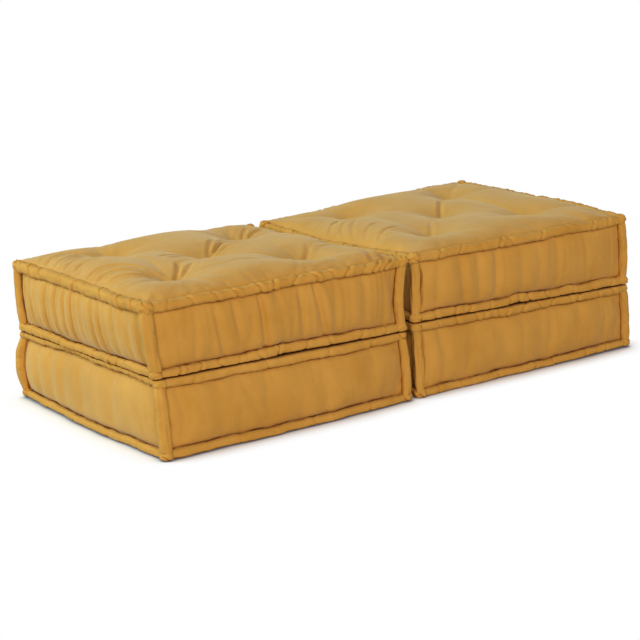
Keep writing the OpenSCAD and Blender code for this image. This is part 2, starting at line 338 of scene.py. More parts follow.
# Sharp creases that are pressed into the finished cloth, for each face: three places of the crease,
# then its depth and half width
CREASES = {
    "upper_left": {
        "left": [
            ((26, 66), (24, 0), (26, -66), 3.4, 4.5), ((60, 60), (64, 0), (66, -60), 1.6, 5),
            ((108, 64), (111, 0), (108, -64), 2.2, 5), ((160, 64), (167, 0), (164, -64), 1.8, 5),
            ((262, 60), (250, 0), (234, -64), 1.6, 5), ((-74, 60), (-80, 0), (-90, -66), 1.8, 5),
            ((-108, 60), (-120, 0), (-134, -66), 1.8, 5),
            ((-178, 60), (-188, 0), (-190, -66), 1.4, 6)],
        "front": [
            ((-176, 66), (-174, 0), (-157, -62), 1.6, 5),
            ((-127, 66), (-122, 0), (-102, -62), 1.4, 5),
            ((-57, 68), (-55, 0), (-51, -66), 3.6, 4.5),
            ((90, 68), (102, 0), (119, -66), 3.0, 4.5), ((49, 66), (50, 0), (56, -40), 1.2, 6)],
        "top": [
            ((-322, 236), (-276, 262), (-214, 240), 2.4, 5),
            ((-324, 196), (-270, 232), (-206, 222), 2.9, 5),
            ((-324, 150), (-268, 190), (-216, 200), 3.1, 5),
            ((-322, 100), (-270, 140), (-226, 156), 2.8, 5),
            ((-322, 52), (-272, 84), (-232, 92), 2.4, 5),
            ((-324, -30), (-268, -20), (-204, -100), 4.2, 5),
            ((-324, -74), (-274, -70), (-212, -130), 4.6, 5),
            ((-322, -116), (-270, -122), (-214, -152), 4.2, 5),
            ((-206, -98), (-188, -140), (-182, -160), 3.6, 5),
            ((-170, -160), (-140, -120), (-112, -70), 3.8, 5),
            ((-166, -164), (-124, -134), (-84, -96), 3.6, 5),
            ((18, 8), (52, 62), (92, 108), 4.3, 5), ((22, 4), (72, 48), (124, 84), 4.1, 5),
            ((26, -2), (86, 24), (146, 44), 3.1, 5), ((-2, 2), (-70, 10), (-120, 0), 2.9, 5),
            ((-2, -8), (-66, -14), (-112, -34), 2.4, 5),
            ((204, 150), (232, 190), (262, 214), 3.8, 5),
            ((208, 146), (250, 172), (288, 186), 3.6, 5),
            ((160, -182), (196, -150), (226, -104), 2.4, 6),
            ((302, -212), (282, -268), (264, -322), 3.6, 6),
            ((326, -236), (312, -280), (297, -320), 3.8, 6)],
    },
    "upper_right": {
        "top": [
            ((-322, -60), (-276, 10), (-226, 60), 3.1, 5),
            ((-322, -14), (-276, 54), (-222, 96), 3.1, 5),
            ((-322, 40), (-276, 100), (-220, 130), 2.9, 5),
            ((-322, -110), (-270, -50), (-212, -20), 2.9, 5),
            ((-318, -160), (-262, -110), (-200, -90), 2.6, 5),
            ((-162, -170), (-126, -126), (-96, -84), 3.1, 6),
            ((10, 8), (46, 56), (80, 96), 3.1, 6)],
        "front": [
            ((-86, 66), (-90, 0), (-89, -50), 1.0, 7),
            ((-144, 66), (-149, 0), (-141, -50), 0.9, 7)],
    },
}

# Rolled edges that are puckered less or more than the usual quarter of a millimetre
PUCKERS = {
    ("upper_left", "left", 1): 0.3,
    ("upper_left", "left", -1): 0.6,
    ("lower_left", "left", 1): 0.9,
    ("upper_left", "front", -1): 0.5,
    ("lower_left", "left", -1): 0.4,
}

# Rolled edges that are stuffed fuller or thinner than the rest
FULL_ROLLS = {
    ("upper_left", "left", 1): 1.22,
    ("upper_left", "right", 1): 0.8,
    ("upper_right", "left", 1): 0.8,
    ("lower_left", "left", 1): 0.82,
    ("lower_left", "left", -1): 0.86,
    ("lower_left", "front", 1): 1.12,
    ("lower_right", "front", 1): 1.12,
    ("lower_right", "front", -1): 0.96,
}

# How far the middle of a rolled edge is pushed out by the wadding
OUTWARD = {
    ("lower_left", "left", -1): 12,
    ("lower_left", "front", -1): 8,
}

# Places where a rolled edge stands up off its neighbour or dips: place, lift and half width
LIFTS = {
    ("upper_left", "front", -1): [(-20, 5, 60), (215, 5, 40), (-200, -3, 80)],
    ("upper_right", "front", -1): [(-240, 4, 60), (-20, 4, 22), (150, 4, 22), (270, 5, 26)],
    ("upper_left", "left", -1): [(0, -3, 160)],
    ("lower_left", "left", 1): [(0, 3, 160)],
    ("upper_left", "right", 1): [(0, -13, 280)],
    ("upper_right", "left", 1): [(0, -13, 280)],
    ("upper_right", "right", 1): [(-60, 5, 230)],
}


class SofaSizes(bpy.types.PropertyGroup):
    """Sizes a maker would change."""
    roll_radius: bpy.props.FloatProperty(
        name="Rolled edge radius", description="Radius of a stuffed rolled edge",
        default=12.4 * MM, min=0.004, max=0.03, unit="LENGTH")
    knot_radius: bpy.props.FloatProperty(
        name="Corner knot radius", description="Half width of the knot where rolled edges meet",
        default=16.0 * MM, min=0.008, max=0.035, unit="LENGTH")
    seat_rise: bpy.props.FloatProperty(
        name="Seat rise", description="Height of the stuffed seat above the seam between its tufts",
        default=33.0 * MM, min=0.0, max=0.06, unit="LENGTH")
    tuft_reach: bpy.props.FloatProperty(
        name="Tuft reach", description="Distance over which a tuft draws the seat down",
        default=62.0 * MM, min=0.02, max=0.12, unit="LENGTH")
    plumpness: bpy.props.FloatProperty(
        name="Plumpness", description="Pressure of the wadding against the cover",
        default=14.0, min=0.0, max=60.0)
    thread_gap: bpy.props.FloatProperty(
        name="Thread spacing", description="Distance between drawn threads of the weave",
        default=1.6 * MM, min=0.0004, max=0.004, unit="LENGTH")


class SofaColours(bpy.types.PropertyGroup):
    """Colours of the cloth and twine, as sRGB hex values."""
    cloth: bpy.props.StringProperty(
        name="Cloth", description="Main colour of the cotton", default="bf9242")
    cloth_pale: bpy.props.StringProperty(
        name="Pale cloth", description="Worn, lighter patches of the cotton", default="c59949")
    cloth_deep: bpy.props.StringProperty(
        name="Deep cloth", description="Fuller dyed patches of the cotton", default="b98b3b")
    twine: bpy.props.StringProperty(
        name="Twine", description="Waxed cotton tufting twine", default="b58e45")
    floor: bpy.props.StringProperty(
        name="Floor", description="Studio floor", default="f4f3f1")


def linear(text):
    """Turn an sRGB hex colour into the linear colour that a shader takes."""
    parts = []
    for at in (0, 2, 4):
        value = int(text[at:at + 2], 16) / 255
        if value <= 0.04045:
            parts.append(value / 12.92)
        else:
            parts.append(((value + 0.055) / 1.055) ** 2.4)
    return (*parts, 1.0)


def add_node(tree, kind, inputs=None, **settings):
    """Add a shader node, set its fields, and give each input its value, or its link from a socket or
    from the first output of a node."""
    node = tree.nodes.new(kind)
    for key, value in settings.items():
        setattr(node, key, value)
    for socket, source in (inputs or {}).items():
        if isinstance(source, bpy.types.Node):
            source = source.outputs[0]
        if isinstance(source, bpy.types.NodeSocket):
            tree.links.new(source, node.inputs[socket])
        else:
            node.inputs[socket].default_value = source
    return node


def noise_at(points, size, seed):
    """Smooth noise of -1 to 1 at each point, with bumps of about the given size in millimetres."""
    shift = Vector((seed * 3.17, seed * 1.73, seed * 2.41))
    return np.array([noise.noise(Vector(p / size) + shift) for p in points])


def wave(at, size, seed):
    """Smooth wandering value of about -1 to 1 along a line, for each place in millimetres."""
    return np.array([noise.noise(Vector((a / size, seed * 7.31, seed * 1.9))) for a in at]) * 1.8


def limit(value, most, soft):
    """Hold values below a limit, easing in over the last few millimetres."""
    start = most - soft
    over = np.maximum(value - start, 0)
    return np.where(value > start, start + soft * (1 - np.exp(-over / soft)), value)


def outward(edge):
    """The sign of the way out of the cushion at an edge."""
    return 1 if edge in ("back", "right") else -1


def half_length(edge):
    """Half the distance between the knots at the ends of a rolled edge."""
    return LINE_X if edge in ("front", "back") else LINE_Y


def corner_ways(corner):
    """The signs of x and y at a corner, counted near left, near right, far left, far right."""
    return 1 if corner & 1 else -1, 1 if corner & 2 else -1


def rests(cushion, level):
    """Whether a face of a cushion lies against the other cushion or the floor."""
    return level == -1 or cushion.startswith("lower")


def warp(cushion, points):
    """Lean and stretch a square cushion to its real corners, and put it at its place in the sofa."""
    spec = CUSHIONS[cushion]
    share = np.clip(points / (LINE_X, LINE_Y, HALF_H), -1.12, 1.12) * 0.5 + 0.5
    moved = points.copy()
    for number, corner in enumerate(spec["corners"]):
        weight = np.ones(len(points))
        for axis in range(3):
            part = share[:, axis] if number >> axis & 1 else 1 - share[:, axis]
            weight = weight * part
        moved += weight[:, None] * np.array(corner, float)
    moved += (spec["x"], 0, spec["z"])
    side = np.sign(spec["x"])
    moved[:, 0] = -side * limit(-side * moved[:, 0], -UNIT_GAP, 3)
    moved[:, 2] = -limit(-moved[:, 2], -FLOOR_GAP, 2)
    return moved


def press(cushion, points):
    """Flatten what rests on the floor or on the other cushion, before the cushion is leaned."""
    points[:, 2] = -limit(-points[:, 2], HALF_H - 0.1, 6)
    if rests(cushion, 1):
        points[:, 2] = limit(points[:, 2], HALF_H - 0.1, 6)
    return points


def seam_point(cushion, edge, level, at):
    """Places on the centre line of a rolled edge. level is -1 at the bottom and 1 at the top."""
    key = (cushion, edge, level)
    seed = CUSHIONS[cushion]["seed"] + 5 * level + 1 + EDGES.index(edge)
    hold = np.sqrt(np.clip(1 - (at / half_length(edge)) ** 2, 0, 1))
    out = sum(wave(at, size, seed + shift) * high * hold for size, high, shift in OUT_WAVES)
    out += OUTWARD.get(key, 0) * hold ** 2
    rise = sum(wave(at, size, seed + shift) * high * hold for size, high, shift in UP_WAVES)
    for place, lift, width in LIFTS.get(key, ()):
        rise += lift * np.exp(-((at - place) / width) ** 2) * hold
    if rests(cushion, level):
        rise -= level * (FULL_ROLLS.get(key, 1.0) - 1.0) * 15 * hold
    points = np.zeros((len(at), 3))
    if edge in ("front", "back"):
        points[:, 0] = at
        points[:, 1] = outward(edge) * (LINE_Y + out)
    else:
        points[:, 0] = outward(edge) * (LINE_X + out)
        points[:, 1] = at
    points[:, 2] = level * (LINE_Z + (REST_SHIFT if rests(cushion, level) else 0)) + rise
    return points


def upright_point(cushion, corner, at):
    """Places on the centre line of an upright rolled edge, which bows out between its knots."""
    spec = CUSHIONS[cushion]
    side, depth = corner_ways(corner)
    hold = np.clip(1 - (at / LINE_Z) ** 2, 0, 1)
    bow = spec["bows"][corner] * hold
    sway = wave(at, 60, spec["seed"] + corner * 9) * 1.6 * hold
    points = np.zeros((len(at), 3))
    points[:, 0] = side * (LINE_X + bow * 0.75 + sway)
    points[:, 1] = depth * (LINE_Y + bow * 0.75 - sway)
    points[:, 2] = at
    return points


def pinches(cushion, edge, level):
    """Stitched pinches of a rolled edge: the photograph's, or seeded ones where it shows none."""
    if (cushion, edge, level) in PINCHES:
        return PINCHES[(cushion, edge, level)]
    seed = CUSHIONS[cushion]["seed"] * 10 + 3 * level + len(edge) * 17
    random = np.random.default_rng(seed)
    half = half_length(edge) - 44
    found = []
    at = -half + random.uniform(0, 20)
    while at < half:
        found.append((at, random.uniform(1.6, 4.4), random.uniform(3.5, 5.5), random.uniform(-11, 11)))
        at += random.uniform(30, 66)
    return found


def gathered(cushion, edge, level, at):
    """Places along a seam after its pinches have drawn the cloth in."""
    for pinch in pinches(cushion, edge, level):
        place, deep = pinch[:2]
        at = at - deep * 0.05 * (at - place) * np.exp(-((at - place) / 14) ** 2)
    return at


def on_face(axis, end, i, j):
    """The point of a closed box that lies on one of its faces, as whole numbers."""
    key = [i, j]
    key.insert(axis, end)
    return tuple(key)


def lattice(counts):
    """Points and faces of a closed box of small squares, as whole numbers."""
    forward = ((0, 0), (1, 0), (1, 1), (0, 1))
    backward = ((0, 0), (0, 1), (1, 1), (1, 0))
    nx, ny, nz = counts
    index = {}
    faces = []
    for axis, ends in ((2, ((nz, forward), (0, backward))),
                       (1, ((0, forward), (ny, backward))),
                       (0, ((0, backward), (nx, forward)))):
        first, second = [a for a in range(3) if a != axis]
        for i in range(counts[first]):
            for j in range(counts[second]):
                for end, steps in ends:
                    face = []
                    for more_i, more_j in steps:
                        key = on_face(axis, end, i + more_i, j + more_j)
                        face.append(index.setdefault(key, len(index)))
                    faces.append(tuple(face))
    return np.array(list(index)), faces


def face_grids(keys):
    """Point numbers of the six faces of a cover, as rows and columns, with their axis and end."""
    number = {tuple(key): n for n, key in enumerate(keys.tolist())}
    grids = []
    for axis in range(3):
        first, second = [a for a in range(3) if a != axis]
        for end in (0, GRID[axis]):
            rows = [[number[on_face(axis, end, i, j)] for j in range(GRID[second] + 1)]
                    for i in range(GRID[first] + 1)]
            grids.append((axis, 1 if end else -1, np.array(rows)))
    return grids


def wall_folds(cushion):
    """The folds of a cushion's walls: face, three places of the valley, depth and half width."""
    found = []
    for face in ("left", "front"):
        for head, middle, foot, deep, width in WALL_FOLDS.get((cushion, face), ()):
            found.append((face, (head, FOLD_Z), (middle, 0), (foot, -FOLD_Z), deep, width))
    return found


def valley(first, middle, last, count):
    """Places along a bent line through three places."""
    t = np.linspace(0, 1, count)[:, None]
    a, b, c = (np.array(p, float) for p in (first, middle, last))
    return (1 - t) ** 2 * a + 2 * t * (1 - t) * (2 * b - (a + c) / 2) + t ** 2 * c


def fold_depth(cushion, face, across, along):
    """Depth of the folds that a panel starts from, at places on that panel."""
    depth = np.zeros(len(across))
    spots = np.stack([across, along], 1)
    seat = [("top", *row) for row in SEAT_FOLDS.get(cushion, ())]
    for name, first, middle, last, deep, width in wall_folds(cushion) + seat:
        if name != face:
            continue
        gap = np.full(len(spots), 1e9)
        for point in valley(first, middle, last, FOLD_PLACES):
            gap = np.minimum(gap, ((spots - point) ** 2).sum(1))
        depth += deep * np.exp(-gap / width ** 2)
    return depth


def cut_shape(cushion, keys, flat):
    """The cut shape of a cover: larger than its cushion, uneven, and with its folds begun."""
    spec = CUSHIONS[cushion]
    low = keys == 0
    high = keys == np.array(GRID)
    inside = (low | high).sum(1) < 2
    cut = flat * (spec["cut"], spec["cut"], spec["tall"])
    ripple = noise_at(flat, 26, spec["seed"]) * spec["ripple"]
    ripple += noise_at(flat, 70, spec["seed"] + 5) * spec["ripple"] * 1.4
    for face, axis, ends, way in (("left", 0, low, -1), ("right", 0, high, 1), ("front", 1, low, -1),
                                  ("back", 1, high, 1), ("bottom", 2, low, -1), ("top", 2, high, 1)):
        panel = ends[:, axis] & inside
        across, along = [flat[panel, a] for a in range(3) if a != axis]
        cut[panel, axis] += way * (ripple[panel] - fold_depth(cushion, face, across, along))
    return cut


def sew_edges(cushion, keys, flat, sewn, tucked):
    """Lay the borders of a cover along its rolled edges, and tuck the next rows in behind them."""
    for level, end in ((-1, 0), (1, GRID[2])):
        free_side = not rests(cushion, level)
        for edge in EDGES:
            axis = 0 if edge in ("front", "back") else 1
            side = keys[:, 1 - axis] == (GRID[1 - axis] if outward(edge) == 1 else 0)
            for row in range(3 if free_side else 2):
                line = side & (np.abs(keys[:, 2] - end) == row)
                if row:
                    line &= (keys[:, axis] > 1) & (keys[:, axis] < GRID[axis] - 1)
                    tucked |= line
                at = gathered(cushion, edge, level, flat[line, axis])
                sewn[line] = seam_point(cushion, edge, level, at)
                sewn[line, 1 - axis] -= outward(edge) * (SEAM_IN + 0.5 * row)
                seam_up = CUSHIONS[cushion].get("seam_up", {}).get(edge, SEAM_UP)
                sewn[line, 2] += level * ((seam_up if free_side else 0) - TUCK * row)


def sew_uprights(cushion, keys, flat, sewn, tucked):
    """Lay the corners of a cover along its uprights, and tuck the columns beside them in."""
    middle = (keys[:, 2] > 2) & (keys[:, 2] < GRID[2] - 2)
    for corner in range(4):
        ways = corner_ways(corner)
        sides = [keys[:, axis] == (GRID[axis] if ways[axis] == 1 else 0) for axis in (0, 1)]
        line = sides[0] & sides[1]
        sewn[line] = upright_point(cushion, corner, flat[line, 2])
        for axis in (0, 1):
            sewn[line, axis] -= UPRIGHT_SEAM * ways[axis]
        for axis in (0, 1):
            beside = GRID[axis] - 1 if ways[axis] == 1 else 1
            line = sides[1 - axis] & middle & (keys[:, axis] == beside)
            sewn[line] = upright_point(cushion, corner, flat[line, 2])
            sewn[line, axis] -= UPRIGHT_IN * ways[axis]
            sewn[line, 1 - axis] -= UPRIGHT_TUCK[corner] * ways[1 - axis]
            tucked |= line


def cover_shapes(cushion, keys):
    """The cut shape of a cover, its sewn shape, and which of its points are held."""
    low = keys == 0
    high = keys == np.array(GRID)
    flat = (keys / np.array(GRID) * 2 - 1) * (LINE_X, LINE_Y, LINE_Z)
    cut = cut_shape(cushion, keys, flat)
    sewn = flat.copy()
    held = (low | high).sum(1) >= 2
    tucked = np.zeros(len(keys), bool)
    sew_edges(cushion, keys, flat, sewn, tucked)
    sew_uprights(cushion, keys, flat, sewn, tucked)
    for x, y, deep in CUSHIONS[cushion]["tufts"]:
        for level, face in ((1, high[:, 2]), (-1, low[:, 2])):
            near = np.abs(flat[:, :2] - (x, y)).sum(1) + np.where(face, 0, 1e6)
            middle = int(np.argmin(near))
            ring = face & (np.abs(keys - keys[middle]).sum(1) <= 1)
            sewn[ring, 0] = x + (flat[ring, 0] - flat[middle, 0]) * 0.45
            sewn[ring, 1] = y + (flat[ring, 1] - flat[middle, 1]) * 0.45
            sewn[ring, 2] = level * pit_height(cushion, level, deep)
            held = held | ring
    return cut, sewn, held | tucked


def pit_height(cushion, level, deep):
    """How far from the cushion's middle the pit of a tuft lies."""
    return TUFT_Z - (0 if rests(cushion, level) else deep)


def eased(grid, times):
    """A grid of values with its small bumps eased out, its border kept."""
    for _ in range(times):
        grid = grid.copy()
        grid[1:-1] = grid[1:-1] * 0.5 + (grid[:-2] + grid[2:]) * 0.25
        grid[:, 1:-1] = grid[:, 1:-1] * 0.5 + (grid[:, :-2] + grid[:, 2:]) * 0.25
    return grid


def seat_height(cushion, x, y):
    """Height of a stuffed seat face over its cushion's middle, from its rise, its tufts and seams."""
    sizes = bpy.context.scene.sofa_sizes
    rise = sizes.seat_rise / MM
    reach = sizes.tuft_reach / MM
    fall = np.where(y > 0, CUSHIONS[cushion].get("shoulder", SHOULDER), SHOULDER)
    full = 1 - np.abs(x / (LINE_X - ROLL_OUT)) ** SHOULDER
    full = full * (1 - np.abs(y / (LINE_Y - ROLL_OUT)) ** fall)
    base = LINE_Z + SEAM_UP
    height = base + rise * np.clip(full, 0, 1)
    for tuft_x, tuft_y, deep in CUSHIONS[cushion]["tufts"]:
        gap = np.hypot(x - tuft_x, y - tuft_y)
        height -= (base + rise - TUFT_Z + deep) * np.exp(-(gap / reach) ** 1.5)
    return height


def settle(cushion, shape, held, grids):
    """Ease the small folds of a filled cover, and let its wadding bear the seat up."""
    shape = shape.copy()
    free = np.where(held, 0.0, 1.0)
    for axis, end, grid in grids:
        if axis == 2 and end == 1 and not rests(cushion, 1):
            target = seat_height(cushion, shape[grid, 0], shape[grid, 1])
            share = eased(free[grid], 2) * free[grid]
            calm = eased(shape[grid, 2], 3)
            mixed = calm * 0.5 + shape[grid, 2] * 0.5
            shape[grid, 2] = shape[grid, 2] + share * (mixed * 0.5 + target * 0.5 - shape[grid, 2])
        elif axis != 2:
            loose = eased(free[grid], 1) * free[grid]
            calm = shape[grid].copy()
            for part in range(3):
                calm[:, :, part] = eased(shape[grid, part], 8)
            share = loose * CUSHIONS[cushion]["calm"]
            shape[grid] = shape[grid] + share[:, :, None] * (calm - shape[grid])
            face = {(0, -1): "left", (0, 1): "right", (1, -1): "front", (1, 1): "back"}[(axis, end)]
            shape[grid, axis] += end * loose * wall_swell(cushion, face, shape[grid])
    return shape


def wall_swell(cushion, face, spots):
    """How far the wadding swells a side panel out past its seams, at places on the panel."""
    across = spots[:, :, 0] / LINE_X if face in ("front", "back") else spots[:, :, 1] / LINE_Y
    full = 1 - np.clip(np.abs(across), 0, 1) ** 6
    belly = (1 - np.clip(np.abs(spots[:, :, 2]) / (LINE_Z + 2), 0, 1) ** 2.4) ** 0.75
    return CUSHIONS[cushion]["swell"][face] * full * belly


def press_creases(cushion, points, normals):
    """Sharp creases in the finished cloth, each with a low swelling on both sides."""
    planes = {"top": (2, 1, 0, 1), "front": (1, -1, 0, 2), "left": (0, -1, 1, 2)}
    depth = np.zeros(len(points))
    share = CUSHIONS[cushion]["pressed"]
    creases = [(face, *row) for face, rows in CREASES.get(cushion, {}).items() for row in rows]
    creases += [(*fold[:4], fold[4] * share, fold[5]) for fold in wall_folds(cushion)]
    fade = np.clip(1.25 - np.abs(np.linspace(0, 1, CREASE_PLACES) * 2 - 1) ** 4, 0.25, 1)
    for face, first, middle, last, deep, width in creases:
        axis, end, across, along = planes[face]
        on = np.flatnonzero(normals[:, axis] * end > 0.45)
        spots = points[on][:, (across, along)]
        gap = np.full(len(spots), 1e9)
        strength = np.zeros(len(spots))
        for point, full in zip(valley(first, middle, last, CREASE_PLACES), fade):
            far = ((spots - point) ** 2).sum(1)
            strength = np.where(far < gap, full, strength)
            gap = np.minimum(gap, far)
        gap = np.sqrt(gap) / width
        depth[on] += deep * strength * (np.exp(-gap ** 2) - 0.35 * np.exp(-((gap - 2.1) / 1.0) ** 2))
    return points - normals * depth[:, None]


def round_under_rolls(cushion, points):
    """Bring every wall in under its rolled edges, so that cloth meets roll in a deep crease."""
    radius = bpy.context.scene.sofa_sizes.roll_radius / MM * CUSHIONS[cushion]["band"]
    for edge in EDGES:
        axis = 1 if edge in ("front", "back") else 0
        sign = outward(edge)
        length = half_length(edge)
        half = LINE_Y if axis == 1 else LINE_X
        wall = np.flatnonzero((points[:, axis] * sign > half - 30)
                              & (np.abs(points[:, 1 - axis]) < length - 16))
        for level in (-1, 1):
            places = np.arange(-length, length + 1, 6.0)
            line = seam_point(cushion, edge, level, places)
            centre = np.interp(points[wall, 1 - axis], places, line[:, 2])
            under = (centre - points[wall, 2]) * level - radius * 0.9
            near = (under > -4) & (under < UNDER_ROLL)
            chosen = wall[near]
            gap = np.clip(under[near] / UNDER_ROLL, 0, 1)
            out = np.interp(points[chosen, 1 - axis], places, line[:, axis] * sign)
            uneven = wave(points[chosen, 1 - axis], 42, axis + level + sign)
            tight = 3.0 + 5.0 * np.clip(0.5 + uneven, 0, 1)
            most = out - tight + UNDER_OUT * np.sqrt(gap)
            over = np.maximum(points[chosen, axis] * sign - most, 0)
            points[chosen, axis] -= sign * over * 0.9
    return points


def fill_covers(shells, sewn_shapes, helds):
    """Sew every cut cover to its rolled edges and tufts, and press it out with the wadding."""
    scene = bpy.context.scene
    for cushion, shell, sewn, held in zip(CUSHIONS, shells, sewn_shapes, helds):
        group = shell.vertex_groups.new(name="sewn")
        group.add([int(n) for n in np.flatnonzero(held)], 1.0, "REPLACE")
        shell.shape_key_add(name="cut")
        key = shell.shape_key_add(name="sewn")
        key.data.foreach_set("co", (sewn * MM).astype("f").ravel())
        key.value = 0
        key.keyframe_insert("value", frame=1)
        key.value = 1
        key.keyframe_insert("value", frame=SEWN_FRAME)
        modifier = shell.modifiers.new("Cloth", "CLOTH")
        cloth = modifier.settings
        cloth.quality = 5
        cloth.mass = 0.002
        cloth.tension_stiffness = 15
        cloth.compression_stiffness = 15
        cloth.shear_stiffness = 5
        cloth.bending_stiffness = CUSHIONS[cushion]["stiff"]
        cloth.air_damping = 1
        cloth.use_pressure = True
        cloth.uniform_pressure_force = scene.sofa_sizes.plumpness
        cloth.vertex_group_mass = "sewn"
        cloth.pin_stiffness = 1
        cloth.effector_weights.gravity = 0
        modifier.collision_settings.use_collision = False
        modifier.point_cache.frame_start = 1
        modifier.point_cache.frame_end = SIM_FRAMES + 2
    for number in range(1, SIM_FRAMES + 1):
        scene.frame_set(number)
    graph = bpy.context.evaluated_depsgraph_get()
    shapes = [mesh_rows(shell.evaluated_get(graph).data, "co") / MM for shell in shells]
    scene.frame_set(1)
    return shapes


def mesh_rows(mesh, field):
    """The places or normals of a mesh's points, one row for each."""
    values = np.empty(len(mesh.vertices) * 3, "f")
    mesh.vertices.foreach_get(field, values)
    return values.reshape(-1, 3).astype(float)


def new_mesh_object(name, points, faces):
    """A smooth-shaded mesh object at the origin, with its place in its mesh, from millimetres."""
    mesh = bpy.data.meshes.new(name)
    mesh.from_pydata([tuple(p) for p in np.asarray(points) * MM], [], faces)
    mesh.polygons.foreach_set("use_smooth", [True] * len(mesh.polygons))
    mesh.update()
    piece = bpy.data.objects.new(name, mesh)
    bpy.context.scene.collection.objects.link(piece)
    return piece


def select_only(*pieces):
    """Select these pieces and no others, and make the first one active."""
    bpy.ops.object.select_all(action="DESELECT")
    for piece in pieces:
        piece.select_set(True)
    bpy.context.view_layer.objects.active = pieces[0]


def remove_shell(shell):
    """Take a cut cover out of the scene, with its mesh and its sewing motion."""
    keys = shell.data.shape_keys
    action = keys.animation_data.action if keys else None
    mesh = shell.data
    bpy.data.objects.remove(shell)
    bpy.data.meshes.remove(mesh)
    if action:
        bpy.data.actions.remove(action)


def make_covers():
    """Cut, sew, fill and finish the covers of all four cushions."""
    keys, faces = lattice(GRID)
    grids = face_grids(keys)
    cuts, sewn_shapes, helds = zip(*[cover_shapes(cushion, keys) for cushion in CUSHIONS])
    shells = [new_mesh_object(cushion + "_cut", cut, faces) for cushion, cut in zip(CUSHIONS, cuts)]
    shapes = fill_covers(shells, sewn_shapes, helds)
    for cushion, shell, shape, held in zip(CUSHIONS, shells, shapes, helds):
        remove_shell(shell)
        shape = settle(cushion, shape, held, grids)
        for axis, half in ((0, LINE_X), (1, LINE_Y)):
            shape[:, axis] = limit(shape[:, axis], half + SWELL_LIMIT, 10)
            shape[:, axis] = -limit(-shape[:, axis], half + SWELL_LIMIT, 10)
        cover = new_mesh_object(cushion + "_cover", shape, faces)
        select_only(cover)
        rounding = cover.modifiers.new("Subdivision", "SUBSURF")
        rounding.levels = 1
        rounding.render_levels = 1
        bpy.ops.object.modifier_apply(modifier=rounding.name)
        points = mesh_rows(cover.data, "co") / MM
        points = press_creases(cushion, points, mesh_rows(cover.data, "normal"))
        points = warp(cushion, press(cushion, round_under_rolls(cushion, points)))
        cover.data.vertices.foreach_set("co", (points * MM).astype("f").ravel())
        cover.data.update()
        cover.data.materials.append(bpy.data.materials["Woven cotton"])
        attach(cover, cushion)
        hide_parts(*[cushion + "_" + part for part in (
            "core", "top_panel", "bottom_panel", "front_wall", "right_wall", "back_wall", "left_wall")])


def ring_faces(rings, around):
    """Faces of a closed tube of rings of points, with two more points in the middle of its ends."""
    faces = []
    for ring in range(rings - 1):
        for step in range(around):
            a = ring * around + step
            b = ring * around + (step + 1) % around
            faces.append((a, b, b + around, a + around))
    first = rings * around
    for step in range(around):
        after = (step + 1) % around
        faces.append((first, after, step))
        faces.append((first + 1, first - around + step, first - around + after))
    return faces


def tube(line, out, up, radius):
    """Points and faces of a closed tube: one ring of points for each place on its line."""
    rings, around = radius.shape
    angle = np.arange(around) * 2 * math.pi / around
    spread = out[:, None] * np.cos(angle)[None, :, None] + up[:, None] * np.sin(angle)[None, :, None]
    points = (line[:, None, :] + spread * radius[:, :, None]).reshape(-1, 3)
    return np.vstack([points, line[:1], line[-1:]]), ring_faces(rings, around)


def right_way(points, faces):
    """Turn the faces of a closed shape outwards by the sign of its volume."""
    volume = 0.0
    for face in faces:
        for n in range(1, len(face) - 1):
            volume += np.dot(points[face[0]], np.cross(points[face[n]], points[face[n + 1]]))
    if volume < 0:
        return [tuple(reversed(face)) for face in faces]
    return faces


def bumps(at, angle, size, turns, seed):
    """Smooth random values of -1 to 1 over the surface of a roll."""
    return np.array([[noise.noise(Vector((a / size, turns * math.cos(t), turns * math.sin(t) + seed)))
                      for t in angle] for a in at])


def square_to(direction, along):
    """A direction turned square to a line at each of its places, with a length of 1."""
    turned = np.tile(np.array(direction, float), (len(along), 1))
    turned -= (turned * along).sum(1)[:, None] * along
    return turned / np.linalg.norm(turned, axis=1)[:, None]


